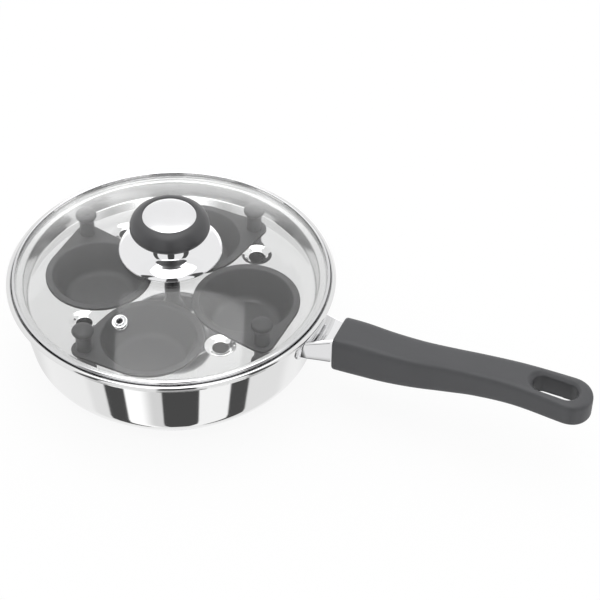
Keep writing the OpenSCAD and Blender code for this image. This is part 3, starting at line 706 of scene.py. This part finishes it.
def make_guard():
    """Polished sleeve, flared towards the pan and cut to its leaning wall."""
    def ring(x, inset, on_wall=False):
        width, top, low = (eased(GUARD_STATIONS, min(x, GRIP_FRONT), k) for k in (1, 2, 3))
        points = rounded_section(width - 2 * inset, top - inset, low + inset, GUARD_EDGE - inset, x, 8)
        if on_wall:
            points = [(sqrt(wall_at(z, 1.4) ** 2 - y * y), y, z) for _, y, z in points]
        return points
    along = (99.5, 100.5, 102, 104, 106, 108, 110, 112, 114, 116)
    wall_end, grip_end = 97.8, GRIP_FRONT + 6.8
    outer = [ring(wall_end, 0, True)] + [ring(x, 0) for x in along]
    outer += [ring(grip_end - 0.5, 0), ring(grip_end, 0.3)]
    inner = [ring(grip_end, GUARD_WALL)] + [ring(x, GUARD_WALL) for x in reversed(along)]
    rings = outer + inner + [ring(wall_end, GUARD_WALL, True)]
    guard = link("flame_guard_sleeve", mesh_of("guard", [p for r in rings for p in r], ring_quads(rings, True)))
    painted(guard, FINISH["guard_steel"])
    dressed(guard, "pan", "guard_steel", "flame_guard")


# ---------------------------------------------------------------- rack

def rack_wall_profile(start):
    """Upper face of the rack outside its flat plate."""
    lean = degrees(atan2(THROAT_R - PLATE_R, FLANGE_TOP - PLATE_TOP))
    return ([(start, PLATE_TOP), (PLATE_R - RACK_BEND, PLATE_TOP)]
            + arc(PLATE_R - RACK_BEND, PLATE_TOP + RACK_BEND, RACK_BEND, -90, -lean, 10)[1:]
            + arc(THROAT_R + RACK_BEND, FLANGE_TOP - RACK_BEND, RACK_BEND, 180 - lean, 90, 8)
            + [(100.0, FLANGE_TOP), (RACK_EDGE_R - 0.3, FLANGE_TOP), (RACK_EDGE_R, FLANGE_TOP - 0.1)])


def make_rack():
    around, round_vent, flat_r = 288, 72, PLATE_R - 2.6
    cups, vents = four_places(CUP_REACH, CUP_ANGLE), four_places(VENT_REACH, VENT_ANGLE)
    mouth = FUNNEL_R + FUNNEL_LIP

    def inside(x, y):
        return (hypot(x, y) < flat_r and all(hypot(x - a, y - b) > CUP_HOLE_R for a, b in cups)
                and all(hypot(x - a, y - b) > mouth for a, b in vents))
    flat, faces, rings = region(
        [circle(flat_r, around)] + [circle(CUP_HOLE_R, 120, x, y) for x, y in cups]
        + [circle(mouth, round_vent, x, y) for x, y in vents], inside)
    points = [(x, y, PLATE_TOP) for x, y in flat]
    last = rings[0]
    for r, z in rack_wall_profile(flat_r)[1:]:
        last = add_ring(points, faces, last, [(x, y, z) for x, y in circle(r, around)])
    # Radius and depth under the plate
    funnel = [(mouth - 0.3, 0.0)] + arc(mouth - 0.3, -1.6, 1.6, 90, 122, 5)[1:]
    funnel += [(8.2, -0.46), (7.1, -0.98), (6.1, -1.48), (5.55, -1.72), (VENT_R, -FUNNEL_DEPTH)]
    for (x, y), last in zip(vents, rings[5:]):
        for r, z in funnel:
            ring = [(x + a, y + b, PLATE_TOP + z) for a, b in circle(r, round_vent)]
            last = add_ring(points, faces, last, ring, inward=True)
    rack = thickened("rack_plate", link("rack sheet", mesh_of("rack sheet", points, faces)), RACK_WALL)
    painted(rack, FINISH["rack_steel"], 40)
    dressed(rack, "rack", "rack_steel", "egg_rack")


# ---------------------------------------------------------------- egg cups

def post_place():
    """Where a cup's post stands, from the cup's centre, on the cup that points along X."""
    x = POST_REACH * cos(radians(POST_TURN)) - CUP_REACH
    y = POST_REACH * sin(radians(POST_TURN))
    return x, y


def teardrop(inset=0.0, step=1.2):
    """Outline of a cup's flange round the cup's centre: two circles joined by their common tangents."""
    x, y = post_place()
    gap, side = hypot(x, y), atan2(y, x)
    open_by = acos((CUP_FLANGE_R - POST_FOOT_R) / gap)
    big, small = CUP_FLANGE_R - inset, POST_FOOT_R - inset
    round_big, round_small, start = 150, 24, side - open_by
    outline = []
    for i in range(round_big + 1):
        t = side + open_by + (2 * pi - 2 * open_by) * i / round_big
        outline.append((big * cos(t), big * sin(t)))
    straight = int(sqrt(gap ** 2 - (CUP_FLANGE_R - POST_FOOT_R) ** 2) / step)
    outline += blend_line((big * cos(start), big * sin(start)),
                          (x + small * cos(start), y + small * sin(start)), straight)
    for i in range(1, round_small + 1):
        t = start + 2 * open_by * i / round_small
        outline.append((x + small * cos(t), y + small * sin(t)))
    return outline + blend_line(outline[-1], outline[0], straight)[:-1]


def bowl_profile():
    """Upper face of a cup from its mouth's bend to the middle of its floor."""
    floor_z = CUP_TOP - CUP_DEPTH
    lean = degrees(atan2(CUP_MOUTH_R - CUP_FLOOR_R - CUP_FILLET_R, CUP_DEPTH - CUP_FILLET_R))
    bend = 1.5
    lip = arc(CUP_MOUTH_R + bend - 0.3, CUP_TOP - bend, bend, 90, 180 - lean, 8)
    fillet = arc(CUP_FLOOR_R, floor_z + CUP_FILLET_R, CUP_FILLET_R, -lean, -90, 14)
    return lip + blend_line(lip[-1], fillet[0], 8)[:-1] + fillet + [(12.0, floor_z), (5.0, floor_z)]


def cup_mesh():
    """Upper face of the cup that points along X: its flange with a rolled-down edge, and its bowl."""
    around = 144
    bowl = bowl_profile()
    mouth = bowl[0][0] + 0.25

    def inside(x, y):
        return hypot(x, y) > mouth
    flat, faces, (edge, last) = region([teardrop(0.9), circle(mouth, around)], inside)
    points = [(x, y, CUP_TOP) for x, y in flat]
    for inset, drop in ((0.6, 0.04), (0.25, 0.17), (0.06, 0.38), (0.0, 0.62)):
        edge = add_ring(points, faces, edge, [(x, y, CUP_TOP - drop) for x, y in teardrop(inset)])
    for r, z in bowl:
        last = add_ring(points, faces, last, [(x, y, z) for x, y in circle(r, around)], inward=True)
    middle = len(points)
    points.append((0.0, 0.0, CUP_TOP - CUP_DEPTH))
    faces += [(last[i], last[(i + 1) % around], middle) for i in range(around)]
    return mesh_of("cup sheet", [(x + CUP_REACH, y, z) for x, y, z in points], faces)


def post_profile():
    """Mushroom knob with its blind screw hole, from the hole's end on the axis to the top of the head.

    Each point is a radius and a height above the flange that the knob stands on."""
    return (
        [(0.0, 9.0), (1.55, 9.0), (1.55, 0.0), (3.0, 0.0), (4.75, 0.0)] + arc(4.7, 0.3, 0.3, -60, 20, 4)
        + [(4.95, 1.3), (4.9, 2.6), (4.85, 4.2), (4.8, 6.0), (4.8, 7.6), (4.88, 9.0), (5.05, 10.0), (5.4, 11.2)]
        + arc(POST_HEAD_R - 2.2, POST_HEIGHT - 3.2, 2.2, -50, 66, 12)
        + arc(0.0, POST_HEIGHT - 13.7, 13.7, 67, 90, 7)[:-1] + [(0.0, POST_HEIGHT)])


def make_cups():
    sheet = cup_mesh()
    x, y = post_place()
    for k in range(4):
        name, body = "egg_cup_bowl_%d" % (k + 1), "cup_%d" % (k + 1)
        cup = in_ring(name, link("cup sheet", sheet.copy()), k, CUP_ANGLE, FINISH["cup_non_stick"])
        cup = thickened(name, cup, CUP_WALL)
        painted(cup, FINISH["cup_non_stick"], 50)
        dressed(cup, body, "cup_non_stick", "egg_cup_%d" % (k + 1))
        knob = turned("knob", post_profile(), FINISH["cup_knob_phenolic"], 72)
        moved(knob, Matrix.Translation((MM * (CUP_REACH + x), MM * y, MM * CUP_TOP)))
        knob = in_ring("cup_post_%d" % (k + 1), knob, k, CUP_ANGLE, FINISH["cup_knob_phenolic"])
        dressed(knob, body, "cup_knob_phenolic", "cup_knob_%d" % (k + 1))
    # The middle post is as dark as the lid's knob: painted shade, standing in for the bell's shadow that falls on
    # its stem
    knob = turned("rack_post", post_profile(), FINISH["knob_phenolic"], 72)
    moved(knob, Matrix.Translation((0.0, 0.0, MM * PLATE_TOP)))
    dressed(knob, "rack", "cup_knob_phenolic", "rack_knob")


# ---------------------------------------------------------------- lid

def steam_hole():
    """Angle round the axis, tilt from upright and centre of the eyelet's hole, which is square to the glass."""
    turn, tilt = radians(STEAM_ANGLE), asin(STEAM_REACH / DOME_R)
    return turn, tilt, STEAM_REACH * cos(turn), STEAM_REACH * sin(turn)


def make_glass():
    """The dome between its two spheres, with the screw's hole and the eyelet's hole."""
    turn, tilt, vent_x, vent_y = steam_hole()
    hole = []
    for a, b in circle(EYELET_HOLE_R, 48):
        p = Vector((a, b, DOME_R))
        p.rotate(Matrix.Rotation(tilt, 3, "Y"))
        p.rotate(Matrix.Rotation(turn, 3, "Z"))
        hole.append((p.x, p.y))
    around, rows = 240, 44
    extra = []
    for i in range(1, rows):
        r = SCREW_HOLE_R + (GLASS_R - 0.5 - SCREW_HOLE_R) * i / rows
        count = max(24, int(around * r / GLASS_R / 6) * 6)
        extra += [(x, y) for x, y in circle(r, count) if hypot(x - vent_x, y - vent_y) > 4.4]

    def inside(x, y):
        dx, dy = x - vent_x, y - vent_y
        along, across = dx * cos(turn) + dy * sin(turn), -dx * sin(turn) + dy * cos(turn)
        return (hypot(x, y) > SCREW_HOLE_R - 0.01
                and hypot(along / cos(tilt), across) > EYELET_HOLE_R - 0.01)
    loops = [circle(GLASS_R, around), circle(SCREW_HOLE_R, 48), hole]
    flat, faces, rings = region(loops, inside, extra)
    count = len(flat)
    scale = (DOME_R - GLASS_WALL) / DOME_R
    upper = [(x, y, dome_at(hypot(x, y))) for x, y in flat]
    lower = [(x * scale, y * scale, DOME_Z + (z - DOME_Z) * scale) for x, y, z in upper]
    solid = list(faces) + [tuple(count + i for i in reversed(face)) for face in faces]
    for ring, outer in zip(rings, (True, False, False)):
        for i in range(len(ring)):
            a, b = ring[i], ring[(i + 1) % len(ring)]
            solid.append((a, count + a, count + b, b) if outer else (a, b, count + b, count + a))
    glass = link("lid_glass_dome", mesh_of("lid_glass_dome", upper + lower, solid))
    painted(glass, FINISH["lid_glass"], 40)
    # On both faces the normals are the spheres' own, so that the glass mirrors without facets
    centre = Vector((0, 0, DOME_Z * MM))
    normals = [Vector(normal.vector) for normal in glass.data.corner_normals]
    for polygon in glass.data.polygons:
        low, high = min(polygon.vertices), max(polygon.vertices)
        if high < count or low >= count:
            for i in polygon.loop_indices:
                way = (glass.data.vertices[glass.data.loops[i].vertex_index].co - centre).normalized()
                normals[i] = way if high < count else -way
    glass.data.normals_split_custom_set(normals)
    dressed(glass, "lid", "lid_glass", "lid_glass")


def make_band():
    """Rim band: it lies on the rack's flange, goes up round the glass's edge and turns in over it."""
    foot_r, band_r, fold = GLASS_R - 1.8, 101.8, 0.5
    lip_r, shoulder_r, beside = GLASS_R - 0.22, band_r - 0.9, GLASS_R + 0.1
    profile = (
        [(foot_r, FLANGE_TOP), (100.0, FLANGE_TOP)]
        + arc(band_r - 0.5, FLANGE_TOP + 0.5, 0.5, -90, 0, 6)
        + [(band_r, 59.5), (band_r, 61.0)]
        + arc(shoulder_r, dome_at(shoulder_r) - 0.28, 0.9, 0, 78, 9)
        + [(r, dome_at(r) + 0.62) for r in (100.85, 100.6)]
        + arc(lip_r, dome_at(lip_r) + 0.34, 0.28, 80, 250, 8)
        + [(100.4, dome_at(100.4) + 0.04), (beside, dome_at(GLASS_R) + 0.02), (beside, FLANGE_TOP + fold)]
        + [(foot_r, FLANGE_TOP + fold)] + arc(foot_r, FLANGE_TOP + 0.25, 0.25, 90, 270, 6))
    turned_part("lid_rim_band", profile, 360, "lid", "band_steel", "lid_band")


def make_steam_vent():
    """Eyelet: its rim lies on the glass and its foot is turned out under it. Heights are from the glass's top."""
    under, foot, collar_r = -GLASS_WALL, -GLASS_WALL - 0.8, 3.0
    profile = (
        [(STEAM_BORE_R, foot), (4.0, foot)] + arc(4.1, under - 0.5, 0.3, -90, 60, 5) + [(collar_r, under - 0.08)]
        + [(collar_r, 0.05), (3.6, 0.05), (4.5, 0.05)] + arc(4.55, 0.45, 0.42, -80, 100, 8)
        + [(3.9, 0.86), (3.45, 0.72)] + arc(2.55, 0.75, 0.72, 10, 180, 10)
        + [(STEAM_BORE_R, 0.4), (STEAM_BORE_R, foot)])
    vent = turned("steam_vent_eyelet", profile, FINISH["vent_steel"], 72)
    turn, tilt, _, _ = steam_hole()
    moved(vent, Matrix.Rotation(turn, 4, "Z") @ Matrix.Translation((0, 0, DOME_Z * MM))
          @ Matrix.Rotation(tilt, 4, "Y") @ Matrix.Translation((0, 0, DOME_R * MM)))
    dressed(vent, "lid", "vent_steel", "steam_vent")


def bell_curve(skin, steps=4):
    """A smooth curve through the bell's line, from foot to neck, or the same curve a skin's thickness inside."""
    last, line = len(BELL_LINE) - 1, []
    for i in range(last):
        p = [BELL_LINE[min(max(i + k, 0), last)] for k in (-1, 0, 1, 2)]
        for n in range(steps + (i == last - 1)):
            t = n / steps
            weights = (-t ** 3 + 2 * t * t - t, 3 * t ** 3 - 5 * t * t + 2, -3 * t ** 3 + 4 * t * t + t,
                       t ** 3 - t * t)
            line.append(tuple(sum(w * q[k] for w, q in zip(weights, p)) / 2 for k in (0, 1)))
    inside = []
    for i, (r, z) in enumerate(line):
        (r0, z0), (r1, z1) = line[max(i - 1, 0)], line[min(i + 1, len(line) - 1)]
        length = hypot(r1 - r0, z1 - z0)
        inside.append((r - skin * (z1 - z0) / length, z + skin * (r1 - r0) / length))
    return inside


def oval(x, z, across, up, start, end, steps):
    """Points on a quarter or less of an oval round (x, z), from one angle in degrees to another."""
    turn = [radians(start + (end - start) * i / steps) for i in range(steps + 1)]
    return [(x + across * cos(t), z + up * sin(t)) for t in turn]


def make_knob():
    """The bell on the glass, the moulded knob on the bell's neck, and the disc in the knob's top."""
    foot_z, under_neck = dome_at(BELL_FOOT_R) + 0.05, NECK_TOP - BELL_WALL
    foot, hole_r = (BELL_FOOT_R - BELL_WALL, foot_z), 2.7
    bell = (
        [foot, (BELL_FOOT_R - 0.12, foot_z)] + bell_curve(0.0)
        + [(17.9, NECK_TOP - 0.04), (17.7, NECK_TOP), (12.0, NECK_TOP), (hole_r, NECK_TOP), (hole_r, under_neck),
           (16.5, under_neck)]
        + list(reversed(bell_curve(BELL_WALL)[4:-4])) + [foot])
    turned_part("knob_bell_chrome", bell, 288, "lid", "bell_chrome", "knob_bell")
    edge_r, seat = DISC_R + 0.7, KNOB_TOP - 1.0
    bush_r, bush_top = 4.05, NECK_TOP + 10.1
    grip = (
        [(0.0, bush_top), (bush_r, bush_top), (bush_r, NECK_TOP), (KNOB_FOOT_R, NECK_TOP)]
        + oval(KNOB_FOOT_R, KNOB_BELLY_Z, KNOB_R - KNOB_FOOT_R, KNOB_BELLY_Z - NECK_TOP, -88, 0, 22)
        + oval(edge_r, KNOB_BELLY_Z, KNOB_R - edge_r, KNOB_TOP - KNOB_BELLY_Z, 4, 88, 20)
        + arc(DISC_R + 0.45, KNOB_TOP - 0.3, 0.3, 80, 180, 5)
        + [(DISC_R + 0.12, seat), (0.0, seat)])
    turned_part("knob_moulding", grip, 192, "lid", "knob_phenolic", "knob_grip")
    # Share of the disc's radius from the middle, from its edge inwards. The crown is 1.5 high.
    shares = [1 - i / 36 for i in range(1, 37)]
    disc = ([(0.0, seat), (DISC_R, seat), (DISC_R, KNOB_TOP - 0.45)]
            + [(DISC_R * share, KNOB_TOP - 0.3 + 1.5 * (1 - share ** 3)) for share in shares])
    turned_part("knob_disc", disc, 192, "lid", "insert_steel", "knob_insert")


# ---------------------------------------------------------------- studio

def make_camera():
    """The photograph's view. It looks down by 42 degrees and leans by one."""
    data = bpy.data.cameras.new("camera")
    data.lens, data.sensor_width = 114.3, 36.0
    data.clip_start, data.clip_end = 0.05, 50.0
    camera = bpy.data.objects.new("camera", data)
    bpy.context.scene.collection.objects.link(camera)
    pitch, roll = radians(42.334), radians(1.126)
    ahead = Vector((0, cos(pitch), -sin(pitch)))
    side, up = Vector((1, 0, 0)), Vector((0, sin(pitch), cos(pitch)))
    right = side * cos(roll) + up * sin(roll)
    top = up * cos(roll) - side * sin(roll)
    axes = Matrix((right, top, -ahead)).transposed().to_4x4()
    place = Matrix.Translation((0.0826355, -0.9134963, 0.8716513))
    camera.matrix_world = Matrix.Rotation(radians(VIEW_TURN), 4, "Z") @ place @ axes
    bpy.context.scene.camera = camera


def stepped(tree, value, first, *stops):
    """A value that changes in steps: first, then at each stop (place, new value, half the step's width)."""
    total, before = first, first
    for at, after, edge in stops:
        step = ranged(tree, value, 0.0, after - before, at - edge, at + edge, "SMOOTHSTEP")
        total, before = maths(tree, "ADD", step, total), after
    return total


def window(tree, value, start, end, edge):
    """1 between start and end, and 0 outside them."""
    return stepped(tree, value, 0.0, (start, 1, edge), (end, 0, edge))


def blended(tree, mask, low, high):
    """low where the mask is 0, high where it is 1."""
    return maths(tree, "ADD", maths(tree, "MULTIPLY", high, mask),
                 maths(tree, "MULTIPLY", low, maths(tree, "SUBTRACT", 1.0, mask)))


def make_world():
    """A white studio: a soft box overhead, a white table's light from below, cards in front and a glow behind."""
    world = bpy.data.worlds.new("studio")
    bpy.context.scene.world = world
    world.use_nodes = True
    tree = world.node_tree
    tree.nodes.clear()
    way = tree.nodes.new("ShaderNodeVectorRotate")
    way.rotation_type = "Z_AXIS"
    way.inputs["Angle"].default_value = radians(-VIEW_TURN)
    tree.links.new(tree.nodes.new("ShaderNodeTexCoord").outputs["Generated"], way.inputs["Vector"])
    x, y, z = parts_of(tree, way.outputs[0])
    height = maths(tree, "MAXIMUM", maths(tree, "ABSOLUTE", z), 0.02)
    across, along = maths(tree, "DIVIDE", x, height), maths(tree, "DIVIDE", y, height)
    box = maths(tree, "MULTIPLY", window(tree, across, -0.33, 0.345, 0.015),
                window(tree, along, -1.2, 0.58, 0.015))
    above = maths(tree, "ADD", ABOVE_LIGHT, maths(tree, "MULTIPLY", box, BOX_LIGHT))
    # Degrees from straight ahead of the camera's side of the object, to the right
    turn = maths(tree, "MULTIPLY", maths(tree, "ARCTAN2", x, maths(tree, "MULTIPLY", y, -1.0)), 180 / pi)
    low_cards = stepped(tree, turn, LOW_START, *LOW_CARDS)
    low_cards = blended(tree, stepped(tree, z, 1.0, (-0.985, 0, 0.003)), low_cards, TABLE_LIGHT)
    behind = maths(tree, "MULTIPLY", stepped(tree, maths(tree, "ABSOLUTE", turn), 0.0, (148, 1, 12)),
                   stepped(tree, z, 0.0, (-0.06, 1, 0.04), (0.21, 0, 0.13)))
    cards = maths(tree, "ADD", stepped(tree, turn, FRONT_START, *FRONT_CARDS),
                  maths(tree, "MULTIPLY", behind, BACK_GLOW))
    # From below to above: the low cards, a plain band, the front cards, and the light overhead
    side = blended(tree, stepped(tree, z, 0.0, (-0.5, 1, 0.03)), 1.0, cards)
    low = blended(tree, stepped(tree, z, 1.0, (-0.76, 0, 0.03)), side, low_cards)
    studio = blended(tree, stepped(tree, z, 0.0, (0.85, 1, 0.03)), low, above)
    camera = tree.nodes.new("ShaderNodeLightPath").outputs["Is Camera Ray"]
    strength = add_node(tree, "ShaderNodeMix", Factor=camera, A=studio, B=1.0)
    light = add_node(tree, "ShaderNodeBackground", Strength=strength.outputs[0])
    surface_out(tree, light, "ShaderNodeOutputWorld")


def make_floor():
    """White table. It looks white to the camera and keeps the pan's soft shadow."""
    half, top = 6000, -0.02
    corners = [(-half, -half, top), (half, -half, top), (half, half, top), (-half, half, top)]
    table = link("table", mesh_of("table", corners, [(0, 1, 2, 3)]))
    table.visible_glossy = False
    material, tree = empty_material("white table")
    matt = add_node(tree, "ShaderNodeBsdfDiffuse", Color=(0.95, 0.95, 0.95, 1))
    glow = add_node(tree, "ShaderNodeEmission", Strength=1.0)
    seen = maths(tree, "MULTIPLY", tree.nodes.new("ShaderNodeLightPath").outputs["Is Camera Ray"], 0.9)
    mix = tree.nodes.new("ShaderNodeMixShader")
    tree.links.new(seen, mix.inputs["Fac"])
    tree.links.new(matt.outputs[0], mix.inputs[1])
    tree.links.new(glow.outputs[0], mix.inputs[2])
    surface_out(tree, mix)
    table.data.materials.append(material)


TURNED, RING = turned_tree(), ring_tree()
SPUN_LINES, HANDLING = spun_lines_group(), handling_group()
GRAIN, EDGE_WEAR = moulded_grain_group(), edge_wear_group()
FINISH = make_materials()

# Nodes whose solids are shown as they are, and their slots
KEPT_NODES = {"base_core": "core_aluminium", "handle_bracket": "bracket_steel", "handle_bolt": "fastener_steel",
              "bolt_washer": "fastener_steel", "knob_bush": "bush_brass", "lid_screw": "fastener_steel",
              "lid_washer": "fastener_steel", "lid_gasket": "gasket_silicone", "rack_screw": "fastener_steel"}
KEPT_NODES.update({"cup_screw_%d" % k: "fastener_steel" for k in range(1, 5)})
for node, slot in KEPT_NODES.items():
    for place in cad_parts[node].material_slots:
        place.material = FINISH[slot]

make_camera()
make_world()
make_floor()
make_pan()
make_guard()
make_grip()
make_rack()
make_cups()
make_glass()
make_band()
make_steam_vent()
make_knob()

scene = bpy.context.scene
scene.view_settings.view_transform = "Standard"
